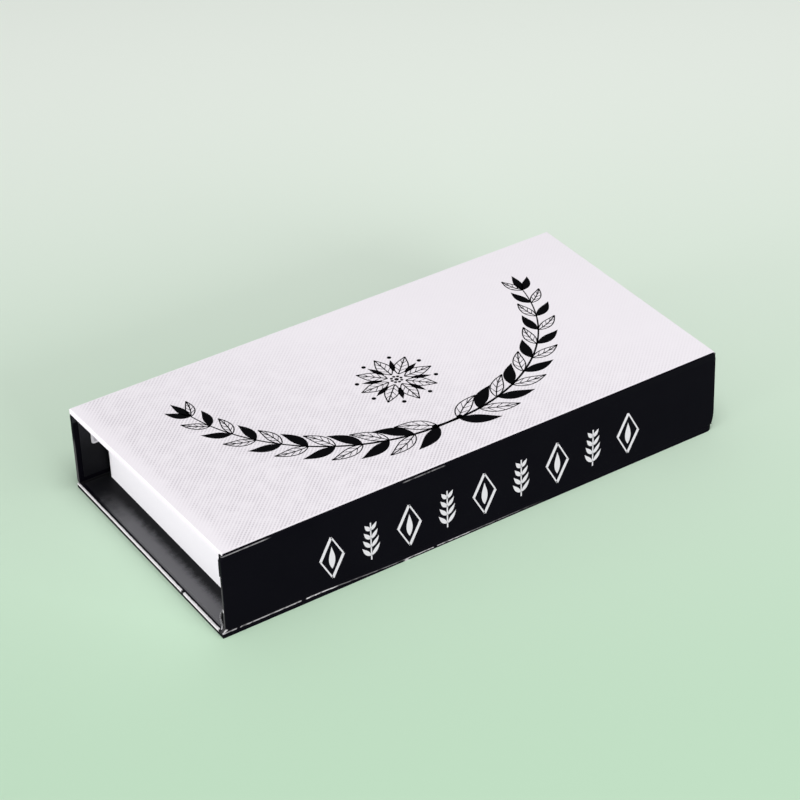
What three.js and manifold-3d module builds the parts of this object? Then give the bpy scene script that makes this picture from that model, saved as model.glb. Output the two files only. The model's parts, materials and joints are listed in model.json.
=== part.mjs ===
// A book-style paperboard eyeshadow box, closed. Four wrapped boards, the base, the spine at the front,
// the lid and the closing flap at the back, fold on paper creases round a white inner tray of powder pans.
// Millimetres, +Z up, +X along the box, the spine at -Y; the origin is under the middle of the base.

import * as THREE from "three";
import { mergeVertices } from "three/addons/utils/BufferGeometryUtils.js";
import Module from "manifold-3d";

const wasm = await Module();
wasm.setup();

// Outside of the closed box
const LENGTH = 200;
const DEPTH = 100;
const HEIGHT = 33;

// Case panels: grey board in covering paper that is turned in over the edges, and a lining paper
const BOARD = 1.25;
const WRAP = 0.25;
const LINING = 0.25;
const TURN_IN = 12;
const LINING_MARGIN = 2;
const PAPER_GAP = 0.25;

// White cover paper on the lid, folded round its two ends
const COVER = 0.25;
const COVER_SETBACK = 0.5;

// Paper creases between the panels
const CREASE = 0.5;
const CREASE_GAP = 0.25;
const FLAP_FOOT_GAP = 0.5;

// The front corner on the right is bumped round at the foot: the base in plan, the spine in its face
const BASE_BUMP_RADIUS = 5.5;
const SPINE_BUMP_LENGTH = 4.75;
const SPINE_BUMP_HEIGHT = 9.25;

// Inner tray: board walls and floor under one white paper
const END_RECESS = 11.25;
const SPINE_GAP = 0.75;
const FLAP_GAP = 1.5;
const LID_GAP = 0.5;
const TRAY_BOARD = 1.5;
const TRAY_PAPER = 0.25;
const TRAY_TURN_DOWN = 12;

// Magnets in the tray's back wall, and the steel plates that they hold on the flap
const MAGNET_DIAMETER = 10;
const MAGNET_HOLE_GAP = 0.25;
const MAGNET_COVER = 0.25;
const MAGNET_INSET = 8.75;
const MAGNET_DROP = 8.75;
const PLATE_LENGTH = 28;
const PLATE_HEIGHT = 10;
const PLATE = 0.5;

// Foam insert: a base block, and a deck with round wells behind an open trough
const INSERT_GAP = 0.25;
const DECK = 4;
const DECK_DROP = 8.25;
const TROUGH = 18;

// Powder pans
const PAN_COLUMNS = 6;
const PAN_ROWS = 2;
const PAN_DIAMETER = 26;
const PAN_HEIGHT = 3.5;
const PAN_WALL = 0.4;
const PAN_GAP = 0.25;
const PAN_WEB = 1.5;
const POWDER_GAP = 0.15;
const POWDER_DROP = 0.5;
const POWDER_CROWN = 0.3;

// Sponge applicator, lying in the trough
const HANDLE_LENGTH = 64;
const HANDLE_DIAMETER = 4.5;
const NECK_LENGTH = 6;
const NECK_DIAMETER = 2.5;
const TIP_LENGTH = 14;
const TIP_DIAMETER = 6.5;
const TIP_FLATNESS = 0.7;
const TIP_PROFILE = [[1, 0.35], [0.9, 0.65], [0.5, 0.92]]; // shares of its half width and of its length
const REST_GAP = 0.25;

// Mirror on the inside of the lid
const MIRROR_THICKNESS = 2;
const MIRROR_MARGIN = 14;
const MIRROR_CORNER = 4;

const PAN_SEGMENTS = 24;
const APPLICATOR_SEGMENTS = 16;
const BUMP_SEGMENTS = 6;
const MIRROR_SEGMENTS = 3;
const TOOL_OVERRUN = 1;

const [X, Y, Z] = [0, 1, 2];

// Levels and faces that several pieces share
const panelThickness = 2 * WRAP + BOARD + LINING;
const half = LENGTH / 2;
const front = -DEPTH / 2;
const back = DEPTH / 2;
const baseTop = panelThickness;
const lidTop = HEIGHT - COVER;
const lidBottom = lidTop - panelThickness;
const trayHalf = half - END_RECESS;
const trayFront = front + panelThickness + SPINE_GAP;
const trayBack = back - panelThickness - FLAP_GAP;
const trayTop = lidBottom - LID_GAP;
const trayFloorTop = baseTop + TRAY_BOARD;
const trayWall = 2 * TRAY_PAPER + TRAY_BOARD;
const deckTop = trayTop - DECK_DROP;
const deckBottom = deckTop - DECK;

const blackPaper = new THREE.MeshStandardMaterial({ color: 0x17171a, roughness: 0.42, metalness: 0 });
const whitePaper = new THREE.MeshStandardMaterial({ color: 0xece8ec, roughness: 0.8, metalness: 0 });
const trayWhite = new THREE.MeshStandardMaterial({ color: 0xf4f3f6, roughness: 0.7, metalness: 0 });
const greyBoard = new THREE.MeshStandardMaterial({ color: 0x8f8a83, roughness: 0.95, metalness: 0 });
const blackFoam = new THREE.MeshStandardMaterial({ color: 0x1c1c1e, roughness: 0.9, metalness: 0 });
const tinPlate = new THREE.MeshStandardMaterial({ color: 0xc9cacd, roughness: 0.35, metalness: 1 });
const nickel = new THREE.MeshStandardMaterial({ color: 0xb9b9bb, roughness: 0.3, metalness: 1 });
const mirrorGlass = new THREE.MeshStandardMaterial({ color: 0xe4e8ea, roughness: 0.03, metalness: 1 });
const blackPlastic = new THREE.MeshStandardMaterial({ color: 0x111113, roughness: 0.2, metalness: 0 });
const sponge = new THREE.MeshStandardMaterial({ color: 0xe9e2d6, roughness: 1, metalness: 0 });
const powderColours = [
  0xf1e3d6, 0xdcb9a0, 0xc48f78, 0xa9685a, 0x7d4a42, 0x4a2d2b,
  0xe8d9c8, 0xcfa68a, 0xb07d5e, 0x8a5a45, 0x6b4a55, 0x2e2a2d,
];

const eyeshadowBox = new THREE.Group();

function add(name, geometry, material) {
  const mesh = new THREE.Mesh(geometry, material);
  mesh.name = name;
  eyeshadowBox.add(mesh);
  return mesh;
}

// A box between two opposite corners, so that neighbours share the exact place of a face
function box(low, high) {
  const geometry = new THREE.BoxGeometry(1, 1, 1);
  const position = geometry.attributes.position;
  for (let vertex = 0; vertex < position.count; vertex += 1) {
    for (const axis of [X, Y, Z]) {
      const corner = position.getComponent(vertex, axis) < 0 ? low : high;
      position.setComponent(vertex, axis, corner[axis]);
    }
  }
  return geometry;
}

function toSolid(geometry) {
  const bare = geometry.clone();
  bare.deleteAttribute("normal");
  bare.deleteAttribute("uv");
  const merged = mergeVertices(bare);
  return new wasm.Manifold(new wasm.Mesh({
    numProp: 3,
    vertProperties: merged.attributes.position.array,
    triVerts: new Uint32Array(merged.index.array),
  }));
}

function toGeometry(solid) {
  const mesh = solid.getMesh();
  const geometry = new THREE.BufferGeometry();
  geometry.setAttribute("position", new THREE.BufferAttribute(mesh.vertProperties, 3));
  geometry.setIndex(new THREE.BufferAttribute(mesh.triVerts, 1));
  geometry.computeVertexNormals();
  return geometry;
}

function cut(geometry, tools) {
  return toGeometry(tools.reduce((solid, tool) => solid.subtract(toSolid(tool)), toSolid(geometry)));
}

function join(geometries) {
  return toGeometry(geometries.map(toSolid).reduce((solid, other) => solid.add(other)));
}

// One layer of a panel: depths are counted from the panel's outer face inwards, and insets from its
// edges, in the order low X, high X, low side, high side
function layer(panel, fromDepth, toDepth, insets) {
  const { thin, outward } = panel;
  const across = thin === Y ? Z : Y;
  const low = [...panel.low];
  const high = [...panel.high];
  low[X] += insets[0];
  high[X] -= insets[1];
  low[across] += insets[2];
  high[across] -= insets[3];
  if (outward < 0) {
    low[thin] = panel.low[thin] + fromDepth;
    high[thin] = panel.low[thin] + toDepth;
  } else {
    low[thin] = panel.high[thin] - toDepth;
    high[thin] = panel.high[thin] - fromDepth;
  }
  return box(low, high);
}

// What lies outside a quarter ellipse at the corner of high X and low V, as a block of the given depth
function cornerBlock(corner, radii, inset, depth) {
  const [cornerX, cornerV] = corner;
  const centreX = cornerX - radii[0];
  const centreV = cornerV + radii[1];
  const outline = new THREE.Shape();
  outline.absellipse(centreX, centreV, radii[0] - inset, radii[1] - inset, 0, -Math.PI / 2, true);
  outline.lineTo(centreX, cornerV - TOOL_OVERRUN);
  outline.lineTo(cornerX + TOOL_OVERRUN, cornerV - TOOL_OVERRUN);
  outline.lineTo(cornerX + TOOL_OVERRUN, centreV);
  return new THREE.ExtrudeGeometry(outline, { depth, bevelEnabled: false, curveSegments: BUMP_SEGMENTS });
}

// The blocks that round the bumped corner, drawn in by inset for the layers under the covering paper
function baseBump(inset) {
  const depth = baseTop + CREASE + 2 * TOOL_OVERRUN;
  const radii = [BASE_BUMP_RADIUS, BASE_BUMP_RADIUS];
  return cornerBlock([half, front], radii, inset, depth).translate(0, 0, -TOOL_OVERRUN);
}

function spineBump(inset) {
  const depth = panelThickness + 2 * TOOL_OVERRUN;
  const radii = [SPINE_BUMP_LENGTH, SPINE_BUMP_HEIGHT];
  const block = cornerBlock([half, 0], radii, inset, depth);
  return block.rotateX(Math.PI / 2).translate(0, front + panelThickness + TOOL_OVERRUN, 0);
}

// A wrapped panel. A turned edge has the covering paper folded over onto the inside, a covered edge has
// it on the edge alone, where it runs on into a crease, and an open edge is bare board beside a crease
function addPanel(name, panel) {
  const skin = { turned: WRAP, covered: WRAP, open: 0 };
  const window = { turned: TURN_IN, covered: WRAP, open: 0 };
  const filling = { turned: TURN_IN + PAPER_GAP, covered: WRAP + PAPER_GAP, open: 0 };
  const margin = { turned: LINING_MARGIN, covered: WRAP, open: 0 };
  const insets = (widths) => panel.edges.map((edge) => widths[edge]);
  const trim = (geometry, inset) => (panel.bump ? cut(geometry, [panel.bump(inset)]) : geometry);
  const boardInside = WRAP + BOARD;
  const wrapInside = boardInside + WRAP;

  const board = trim(layer(panel, WRAP, boardInside, insets(skin)), WRAP);
  add(`${name}_board`, board, greyBoard);

  const envelope = trim(layer(panel, 0, wrapInside, [0, 0, 0, 0]), 0);
  const opening = layer(panel, boardInside, wrapInside, insets(window));
  add(`${name}_wrap`, cut(envelope, [board, opening]), blackPaper);

  const sheet = layer(panel, wrapInside, panelThickness, insets(margin));
  const sheetFilling = layer(panel, boardInside, panelThickness, insets(filling));
  add(`${name}_lining`, trim(join([sheet, sheetFilling]), WRAP), blackPaper);
}

// The paper web in the fold between two panels
function crease(y, z) {
  return box([-half, y, z], [half, y + panelThickness, z + CREASE]);
}

function addCase() {
  addPanel("base", {
    low: [-half, front, 0],
    high: [half, back, baseTop],
    thin: Z,
    outward: -1,
    edges: ["turned", "turned", "covered", "turned"],
    bump: baseBump,
  });
  addPanel("spine", {
    low: [-half, front, baseTop + CREASE + CREASE_GAP],
    high: [half, front + panelThickness, lidBottom - CREASE - CREASE_GAP],
    thin: Y,
    outward: -1,
    edges: ["turned", "turned", "open", "open"],
    bump: spineBump,
  });
  addPanel("lid", {
    low: [-half + COVER, front, lidBottom],
    high: [half - COVER, back, lidTop],
    thin: Z,
    outward: 1,
    edges: ["turned", "turned", "covered", "covered"],
  });
  addPanel("flap", {
    low: [-half, back - panelThickness, baseTop + FLAP_FOOT_GAP],
    high: [half, back, lidBottom - CREASE - CREASE_GAP],
    thin: Y,
    outward: 1,
    edges: ["turned", "turned", "turned", "open"],
  });
  add("base_crease", cut(crease(front, baseTop), [baseBump(0), spineBump(0)]), blackPaper);
  add("lid_crease", crease(front, lidBottom - CREASE), blackPaper);
  add("flap_crease", crease(back - panelThickness, lidBottom - CREASE), blackPaper);
}

function addCoverPaper() {
  const coverFront = front + COVER_SETBACK;
  const coverBack = back - COVER_SETBACK;
  const turnTop = lidBottom + LINING;
  const turnBottom = turnTop - COVER;
  const turnLength = COVER + LINING_MARGIN - PAPER_GAP;
  const top = box([-half, coverFront, lidTop], [half, coverBack, HEIGHT]);
  const folds = [-1, 1].flatMap((side) => {
    const outer = side * half;
    const spanX = (reach) => [outer, outer - side * reach].sort((a, b) => a - b);
    const [skinLow, skinHigh] = spanX(COVER);
    const [turnLow, turnHigh] = spanX(turnLength);
    return [
      box([skinLow, coverFront, turnBottom], [skinHigh, coverBack, HEIGHT]),
      box([turnLow, coverFront, turnBottom], [turnHigh, coverBack, turnTop]),
    ];
  });
  add("lid_cover_paper", join([top, ...folds]), whitePaper);
}

// A box that stands in the tray's outline, drawn in by inset all round
function trayBlock(inset, low, high) {
  return box(
    [-trayHalf + inset, trayFront + inset, low],
    [trayHalf - inset, trayBack - inset, high],
  );
}

function magnetPlace(side) {
  return { x: side * (trayHalf - MAGNET_INSET), z: lidBottom - MAGNET_DROP };
}

function addTray() {
  const boardTop = trayTop - TRAY_PAPER;
  const wallInside = TRAY_PAPER + TRAY_BOARD;
  const outerX = trayHalf - TRAY_PAPER;
  const innerX = trayHalf - wallInside;
  const outerFront = trayFront + TRAY_PAPER;
  const innerFront = trayFront + wallInside;
  const outerBack = trayBack - TRAY_PAPER;
  const innerBack = trayBack - wallInside;

  add("tray_floor", trayBlock(wallInside, baseTop, trayFloorTop), greyBoard);
  add("tray_front_wall", box([-outerX, outerFront, baseTop], [outerX, innerFront, boardTop]), greyBoard);
  add("tray_left_wall", box([-outerX, innerFront, baseTop], [-innerX, innerBack, boardTop]), greyBoard);
  add("tray_right_wall", box([innerX, innerFront, baseTop], [outerX, innerBack, boardTop]), greyBoard);

  const backWall = box([-outerX, innerBack, baseTop], [outerX, outerBack, boardTop]);
  const holeRadius = MAGNET_DIAMETER / 2 + MAGNET_HOLE_GAP;
  const holes = [-1, 1].map((side) => {
    const { x, z } = magnetPlace(side);
    const depth = TRAY_BOARD + 2 * TOOL_OVERRUN;
    const hole = new THREE.CylinderGeometry(holeRadius, holeRadius, depth, PAN_SEGMENTS);
    return hole.translate(x, (innerBack + outerBack) / 2, z);
  });
  add("tray_back_wall", cut(backWall, holes), greyBoard);

  const outside = cut(trayBlock(0, baseTop, trayTop), [trayBlock(TRAY_PAPER, baseTop, trayTop)]);
  const rim = cut(trayBlock(0, boardTop, trayTop), [trayBlock(trayWall, boardTop, trayTop)]);
  const turnBottom = trayTop - TRAY_TURN_DOWN;
  const inside = cut(
    trayBlock(wallInside, turnBottom, trayTop),
    [trayBlock(trayWall, turnBottom, trayTop)],
  );
  add("tray_paper", join([outside, rim, inside]), trayWhite);
}

function addCatch() {
  const magnetThickness = TRAY_BOARD - MAGNET_COVER;
  const magnetY = trayBack - TRAY_PAPER - magnetThickness / 2;
  const flapInside = back - panelThickness;
  for (const [side, sideName] of [[-1, "left"], [1, "right"]]) {
    const { x, z } = magnetPlace(side);
    const radius = MAGNET_DIAMETER / 2;
    const disc = new THREE.CylinderGeometry(radius, radius, magnetThickness, PAN_SEGMENTS);
    add(`magnet_${sideName}`, disc, nickel).position.set(x, magnetY, z);
    const plate = box(
      [x - PLATE_LENGTH / 2, flapInside - PLATE, z - PLATE_HEIGHT / 2],
      [x + PLATE_LENGTH / 2, flapInside, z + PLATE_HEIGHT / 2],
    );
    add(`catch_plate_${sideName}`, plate, tinPlate);
  }
}

// A closed body turned about Z from a profile of [radius, height] points that starts and ends on the axis
function turned(profile, segments) {
  const points = profile.map(([radius, height]) => new THREE.Vector2(radius, height));
  return new THREE.LatheGeometry(points, segments).rotateX(Math.PI / 2);
}

function addPan(number, x, y, colour) {
  const radius = PAN_DIAMETER / 2;
  const inner = radius - PAN_WALL;
  const cup = turned([
    [0, 0], [radius, 0], [radius, PAN_HEIGHT], [inner, PAN_HEIGHT], [inner, PAN_WALL], [0, PAN_WALL],
  ], PAN_SEGMENTS);
  add(`pan_${number}`, cup, tinPlate).position.set(x, y, deckBottom);

  const cakeRadius = inner - POWDER_GAP;
  const cakeHeight = PAN_HEIGHT - PAN_WALL - POWDER_DROP;
  const cake = turned([
    [0, 0], [cakeRadius, 0], [cakeRadius, cakeHeight - POWDER_CROWN], [0, cakeHeight],
  ], PAN_SEGMENTS);
  const powder = new THREE.MeshStandardMaterial({ color: colour, roughness: 0.95, metalness: 0 });
  add(`powder_${number}`, cake, powder).position.set(x, y, deckBottom + PAN_WALL);
}

function addInsert() {
  const insertHalf = trayHalf - trayWall - INSERT_GAP;
  const insertFront = trayFront + trayWall + INSERT_GAP;
  const insertBack = trayBack - trayWall - INSERT_GAP;
  const deckFront = insertFront + TROUGH;
  const wellRadius = PAN_DIAMETER / 2 + PAN_GAP;
  const columns = Math.min(PAN_COLUMNS, Math.floor(2 * insertHalf / (2 * wellRadius + PAN_WEB)));
  const rows = Math.min(PAN_ROWS, Math.floor((insertBack - deckFront) / (2 * wellRadius + PAN_WEB)));
  const pitchX = 2 * insertHalf / columns;
  const pitchY = (insertBack - deckFront) / rows;

  add("foam_base", box(
    [-insertHalf, insertFront, trayFloorTop],
    [insertHalf, insertBack, deckBottom],
  ), blackFoam);

  const outline = new THREE.Shape([
    new THREE.Vector2(-insertHalf, deckFront),
    new THREE.Vector2(insertHalf, deckFront),
    new THREE.Vector2(insertHalf, insertBack),
    new THREE.Vector2(-insertHalf, insertBack),
  ]);
  for (let index = 0; index < rows * columns; index += 1) {
    const x = -insertHalf + pitchX * (index % columns + 0.5);
    const y = insertBack - pitchY * (Math.floor(index / columns) + 0.5);
    outline.holes.push(new THREE.Path().absarc(x, y, wellRadius, 0, 2 * Math.PI, true));
    addPan(index + 1, x, y, powderColours[index % powderColours.length]);
  }
  const deck = new THREE.ExtrudeGeometry(outline, {
    depth: DECK,
    bevelEnabled: false,
    curveSegments: PAN_SEGMENTS / 2,
  });
  add("foam_deck", deck, blackFoam).position.z = deckBottom;

  addApplicator(insertFront + TROUGH / 2);
}

function addApplicator(y) {
  const tipRise = TIP_FLATNESS * TIP_DIAMETER / 2;
  const z = deckBottom + REST_GAP + Math.max(HANDLE_DIAMETER / 2, tipRise);
  const end = HANDLE_LENGTH / 2;
  const shoulder = end - NECK_LENGTH;
  const neck = NECK_DIAMETER / 2;
  const grip = HANDLE_DIAMETER / 2;
  const handle = turned([
    [0, -end], [neck, -end], [grip, -shoulder], [grip, shoulder], [neck, end], [0, end],
  ], APPLICATOR_SEGMENTS).rotateY(Math.PI / 2);
  add("applicator_handle", handle, blackPlastic).position.set(0, y, z);

  const bulge = TIP_DIAMETER / 2;
  for (const [side, sideName] of [[-1, "left"], [1, "right"]]) {
    const swell = TIP_PROFILE.map(([width, along]) => [width * bulge, along * TIP_LENGTH]);
    const profile = [[0, 0], [neck, 0], ...swell, [0, TIP_LENGTH]];
    const tip = turned(profile, APPLICATOR_SEGMENTS).rotateY(side * Math.PI / 2);
    tip.scale(1, 1, TIP_FLATNESS);
    add(`applicator_tip_${sideName}`, tip, sponge).position.set(side * end, y, z);
  }
}

// A flat plate with round corners, its top face at height 0
function roundedPlate(low, high, thickness, radius) {
  const outline = new THREE.Shape();
  outline.absarc(low[X] + radius, low[Y] + radius, radius, Math.PI, 1.5 * Math.PI);
  outline.absarc(high[X] - radius, low[Y] + radius, radius, 1.5 * Math.PI, 2 * Math.PI);
  outline.absarc(high[X] - radius, high[Y] - radius, radius, 0, 0.5 * Math.PI);
  outline.absarc(low[X] + radius, high[Y] - radius, radius, 0.5 * Math.PI, Math.PI);
  const settings = { depth: thickness, bevelEnabled: false, curveSegments: MIRROR_SEGMENTS };
  return new THREE.ExtrudeGeometry(outline, settings).translate(0, 0, -thickness);
}

function addMirror() {
  const inset = trayWall + MIRROR_MARGIN;
  const low = [-trayHalf + inset, trayFront + inset];
  const high = [trayHalf - inset, trayBack - inset];
  const plate = roundedPlate(low, high, MIRROR_THICKNESS, MIRROR_CORNER);
  add("lid_mirror", plate, mirrorGlass).position.z = lidBottom;
}

addCase();
addCoverPaper();
addTray();
addCatch();
addInsert();
addMirror();

export default eyeshadowBox;
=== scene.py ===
"""The looks of a book-style eyeshadow box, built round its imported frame.

Metres, +Z up, +X along the box, the spine at -Y. Pieces take their places from the frame's nodes.
Shader formulas count in millimetres.
"""

import json
import math
import random

import bmesh
import bpy
from mathutils import Matrix, Vector


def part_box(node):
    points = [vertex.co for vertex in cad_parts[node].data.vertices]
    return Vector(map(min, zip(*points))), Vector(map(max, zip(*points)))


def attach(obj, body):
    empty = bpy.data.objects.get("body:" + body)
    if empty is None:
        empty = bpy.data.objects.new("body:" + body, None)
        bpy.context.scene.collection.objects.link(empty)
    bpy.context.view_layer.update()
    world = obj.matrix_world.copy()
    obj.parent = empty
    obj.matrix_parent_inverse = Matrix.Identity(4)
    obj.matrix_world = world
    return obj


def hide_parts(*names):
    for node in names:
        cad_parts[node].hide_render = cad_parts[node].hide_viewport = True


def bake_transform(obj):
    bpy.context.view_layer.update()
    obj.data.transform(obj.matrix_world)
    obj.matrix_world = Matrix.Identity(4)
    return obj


MM = 0.001
X, Y, Z = 0, 1, 2

# Camera, as fitted to the photograph
AZIMUTH = -32.49
ELEVATION = 34.39
ROLL = 1.74
LENS = 114.67
SENSOR = 36.0
CAMERA_DISTANCE = 880.5 * MM
CENTRE_HEIGHT = 16.51 * MM
CENTRE_RIGHT = -0.75 * MM
CENTRE_DOWN = 6.52 * MM

# Paper, ink, and the colour of the light painted on the base's two ends
PAPER = 0.25 * MM
INK = 0.02 * MM
EDGE_RADIUS = 0.45 * MM
LINING_EDGE = 0.08 * MM
TURN_IN = 12 * MM
# Painted light: the colour of the pale strip painted on the base's two ends
LIT_STRIP_COLOUR = (0.16, 0.16, 0.17)

# Meshes
SLIVER = 0.05 * MM
MERGE = 0.001 * MM
OVERRUN = 1 * MM
CORNER_STEPS = 6
SMOOTH_ANGLE = math.radians(35)
BEVEL_ANGLE = math.radians(40)

# Wear on the black paper: breaks in the crease along X, and spots with their radius and strength; the first
# two spots are rubbed, the last is a painted highlight low on the spine's left end
CREASE_BREAKS = ((-94.9, -93.9, 0.4), (-70.6, -69.2, 0.5), (-19.0, -18.0, 0.4))
RUBBED_AND_HIGHLIGHT_SPOTS = (
    ((-99.9, -49.9, 2.5), 0.7, 0.6),
    ((-30.0, -50.0, 0.1), 1.0, 0.7),
    ((-100.0, -48.3, 9.8), 1.1, 0.8),
)

# The bumped corner at the right of the spine's foot
BASE_BUMP = 3.0 * MM
SPINE_BUMP_LENGTH = 3.9 * MM
SPINE_BUMP_HEIGHT = 8.0 * MM
BUMP_STEPS = 10

# Folds and hinge linings
FOLD_GROOVE = 0.15 * MM
FOLD_WAVER = 0.35
FOLD_OVERLAP = 1.3 * MM
FOLD_ROWS = 9
FOLD_COLUMNS = 120
HINGE_STEPS = 14
HINGE_COLUMNS = 80
HINGE_REACH = 7.5 * MM
HINGE_BULGE = 0.4 * MM
HINGE_END_BULGE = 2.0 * MM
HINGE_SPREAD = 0.14
HINGE_BELLY = 0.35
HINGE_TAKE_UP = 0.4
HINGE_MARGIN = 1.0 * MM
HINGE_FRAY = 0.7 * MM

# How far the ends are drawn in: the lid's at its front, the spine's right one at its top
LID_SHORT_LEFT = 2.0 * MM
LID_SHORT_RIGHT = 1.0 * MM
SPINE_SHORT_LEFT = 1.3 * MM
SPINE_SHORT_RIGHT = 0.5 * MM

# Cover paper
COVER_CORNER = 0.45 * MM
WEAVE_PITCH = 1.13
WEAVE_SLOPE = 0.93

# Tray
TRAY_CORNER = 0.6 * MM
TRAY_RIM = 0.5 * MM
TRAY_TURN_DOWN = 12 * MM

# Insert, pans, applicator, catch plates and mirror
WELL_GAP = 0.25 * MM
WELL_ROUND = 0.6 * MM
FOAM_EDGE = 0.5 * MM
PAN_STEPS = 64
POWDER_RINGS = 26
POWDER_FLUTES = 24
POWDER_RELIEF = 0.16 * MM
POWDER_TWIST = 5
POWDER_SAG = 0.042
APPLICATOR_STEPS = 32
PLATE_CORNER = 0.9 * MM
PLATE_EDGE = 0.2 * MM
MIRROR_EDGE = 0.6 * MM
MIRROR_CORNER = 4 * MM

# Prints, in millimetres: the laurel's heading and bend in degrees, its leaves' in radians
FINE_LINE = 0.42
LAUREL_FOOT = (-5, -31)
LAUREL_HEADING = -6
LAUREL_BEND = 84
LAUREL_LENGTH = 99
LAUREL_PAIRS = 11
LAUREL_PACE = 8
LAUREL_LEAF = 15.0
LEAF_SPREAD = 0.75
LEAF_CURL = 0.45
PETALS = 8
PETAL_LENGTH = 11.0
BAND_COUNT = 9
BAND_PITCH = 15.0
BAND_SHIFT = 1.5
BAND_MIDDLE = 14.0
SPRIG_HALF = 7.5
SPRIG_LEVELS = 4
SPRIG_START = 1.7
SPRIG_STEP = 3.4
SPRIG_LEAF = 5.4
LOZENGE_HALF = (4.4, 8.2)
LOZENGE_LINE = 1.15
LOZENGE_LEAF = 8.8

# Stage
FLOOR_REACH = 6.0
FLOOR_BLEND = (-200, 350)
FLOOR_NEAR = (0.519, 0.723, 0.538)
FLOOR_FAR = (0.93, 1.0, 0.92)
FLOOR_NEUTRAL = (0.4, 0.4, 0.4)
WORLD_LIGHT = (1.0, 0.985, 1.0)
WORLD_STRENGTH = 0.3

# Lamps: name, place, target, size and watts
LAMPS = (
    ("key", (-0.16, -0.4, 1.45), (0, 0, 0), (0.9, 0.9), 12.5),
    ("left_fill", (-1.5, 0.0, 0.12), (0, 0, 0.02), (1.2, 0.2), 16.0),
    ("front_fill", (0.3, -1.6, 0.45), (0, 0, 0.02), (1.2, 0.6), 15),
)

# Powders: colour and shimmer
POWDERS = {
    "powder_ivory": ((0.86, 0.75, 0.65), 0.0),
    "powder_peach": ((0.70, 0.46, 0.33), 0.0),
    "powder_rose": ((0.55, 0.27, 0.19), 0.6),
    "powder_terracotta": ((0.38, 0.13, 0.09), 0.0),
    "powder_chestnut": ((0.20, 0.065, 0.05), 0.7),
    "powder_espresso": ((0.065, 0.024, 0.021), 0.0),
    "powder_cream": ((0.79, 0.68, 0.56), 0.8),
    "powder_sand": ((0.60, 0.37, 0.24), 0.0),
    "powder_caramel": ((0.42, 0.20, 0.11), 0.7),
    "powder_cinnamon": ((0.24, 0.10, 0.058), 0.0),
    "powder_plum": ((0.14, 0.068, 0.087), 0.6),
    "powder_charcoal": ((0.026, 0.022, 0.026), 0.5),
}

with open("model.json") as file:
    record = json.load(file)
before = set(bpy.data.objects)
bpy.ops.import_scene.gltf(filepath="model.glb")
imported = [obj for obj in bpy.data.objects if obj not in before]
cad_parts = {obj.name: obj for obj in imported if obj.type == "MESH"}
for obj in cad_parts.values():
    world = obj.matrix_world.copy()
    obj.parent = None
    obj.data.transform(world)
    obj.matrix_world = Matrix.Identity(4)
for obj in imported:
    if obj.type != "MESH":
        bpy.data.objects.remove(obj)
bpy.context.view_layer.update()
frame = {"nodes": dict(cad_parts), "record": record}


# Shader formulas

def plug(tree, value, socket):
    if isinstance(value, Term):
        tree.links.new(value.socket, socket)
    else:
        socket.default_value = value


def new_term(tree, kind, inputs, output=0, **settings):
    """One output of a new shader node that has its settings and inputs in place."""
    node = tree.nodes.new(kind)
    for word, value in settings.items():
        setattr(node, word, value)
    for key, value in inputs.items():
        plug(tree, value, node.inputs[key])
    return Term(tree, node.outputs[output])


class Term:
    """A shader value that takes part in formulas."""

    def __init__(self, tree, socket):
        self.tree = tree
        self.socket = socket

    def math(self, operation, *others):
        inputs = dict(enumerate((self, *others)))
        return new_term(self.tree, "ShaderNodeMath", inputs, operation=operation)

    def __add__(self, other):
        return self.math("ADD", other)

    def __sub__(self, other):
        return self.math("SUBTRACT", other)

    def __rsub__(self, other):
        return self * -1 + other

    def __mul__(self, other):
        return self.math("MULTIPLY", other)

    def most(self, other):
        return self.math("MAXIMUM", other)

    def least(self, other):
        return self.math("MINIMUM", other)

    def ramp(self, low, high, first, last):
        inputs = {"Value": self, "From Min": low, "From Max": high, "To Min": first, "To Max": last}
        return new_term(self.tree, "ShaderNodeMapRange", inputs, interpolation_type="SMOOTHSTEP")

    def rise(self, low, high):
        return self.ramp(low, high, 0.0, 1.0)

    def fall(self, low, high):
        return self.ramp(low, high, 1.0, 0.0)

    def band(self, low, high, soft):
        return self.rise(low - soft, low) * self.fall(high, high + soft)

    def wave(self, length):
        """A ripple from 0 to 1 with the given wavelength."""
        return (self * (2 * math.pi / length)).math("SINE") * 0.5 + 0.5


def most_of(terms):
    """The greatest of several values at each place."""
    most, *others = terms
    for term in others:
        most = most.most(term)
    return most


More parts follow.
